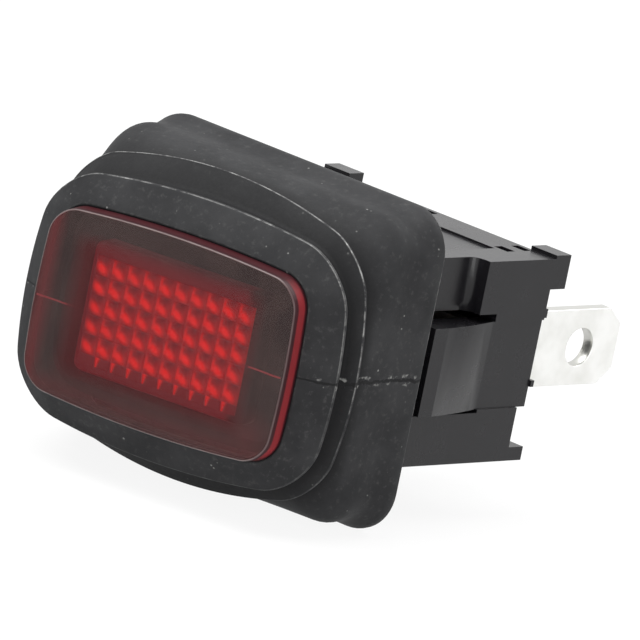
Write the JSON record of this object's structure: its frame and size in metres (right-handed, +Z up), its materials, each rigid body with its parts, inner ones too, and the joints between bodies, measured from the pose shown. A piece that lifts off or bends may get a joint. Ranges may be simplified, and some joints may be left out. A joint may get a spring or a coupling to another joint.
{
  "type": "panel rocker switch",
  "caption": "Sealed snap-in panel rocker switch with a bellows boot, red lighted window and flat blade tabs",
  "frame": {"origin": "centre of the panel cut-out in the panel's front plane, where the boot's lip seats", "axes": "+X along the rocker's long side, +Y back through the panel to the tabs, +Z up"},
  "size_m": [0.0247, 0.036, 0.0198],
  "materials": {
    "nylon_black": "satin moulded nylon",
    "tinned_brass": "bright tin plate",
    "contact_silver": "silver rivet",
    "boot_rubber": "dusty matt rubber",
    "spring_steel": "drawn wire",
    "lens_red": "clear red, prismatic front",
    "window_tint": "smoky red tint",
    "lamp_glass": "clear glass",
    "resistor_body": "lacquered ceramic",
    "lead_wire": "tinned wire",
    "bridge_copper": "stamped copper alloy",
    "plunger_nylon": "natural nylon"
  },
  "bodies": {
    "housing_body": {"housing": "nylon_black", "terminal_base": "nylon_black", "terminal_load": "tinned_brass", "terminal_common": "tinned_brass", "terminal_lamp": "tinned_brass", "fixed_contact": "contact_silver", "boot": "boot_rubber", "lamp_spring_left": "spring_steel", "lamp_spring_right": "spring_steel"},
    "rocker_body": {"rocker": "nylon_black", "lens": "lens_red", "boot_window": "window_tint", "lamp_bulb": "lamp_glass", "resistor": "resistor_body", "lead_left": "lead_wire", "lead_link": "lead_wire", "lead_right": "lead_wire", "plunger_spring": "spring_steel"},
    "bridge_body": {"contact_bridge": "bridge_copper", "moving_contact": "contact_silver"},
    "plunger_body": {"plunger": "plunger_nylon"}
  },
  "joints": [
    {"name": "rocker_tilt", "type": "hinge", "parent": "housing_body", "child": "rocker_body", "pos_m": [0, -0.0019, 0], "axis": [0, 0, 1], "range_deg": [-20.4, 0], "deforming": ["boot", "lamp_spring_left", "lamp_spring_right"]},
    {"name": "bridge_tilt", "type": "hinge", "parent": "housing_body", "child": "bridge_body", "pos_m": [0, 0.0065, 0], "axis": [0, 0, 1], "range_deg": [0, 16.4]},
    {"name": "plunger_travel", "type": "slide", "parent": "rocker_body", "child": "plunger_body", "axis": [0.1771, -0.9842, 0], "range_m": [0, 0.0005], "stiffness_N_per_m": 300, "springref_m": -0.002, "deforming": ["plunger_spring"]}
  ],
  "couplings": [
    {"joint": "bridge_tilt", "follows": "rocker_tilt", "ratio": -0.8}
  ]
}
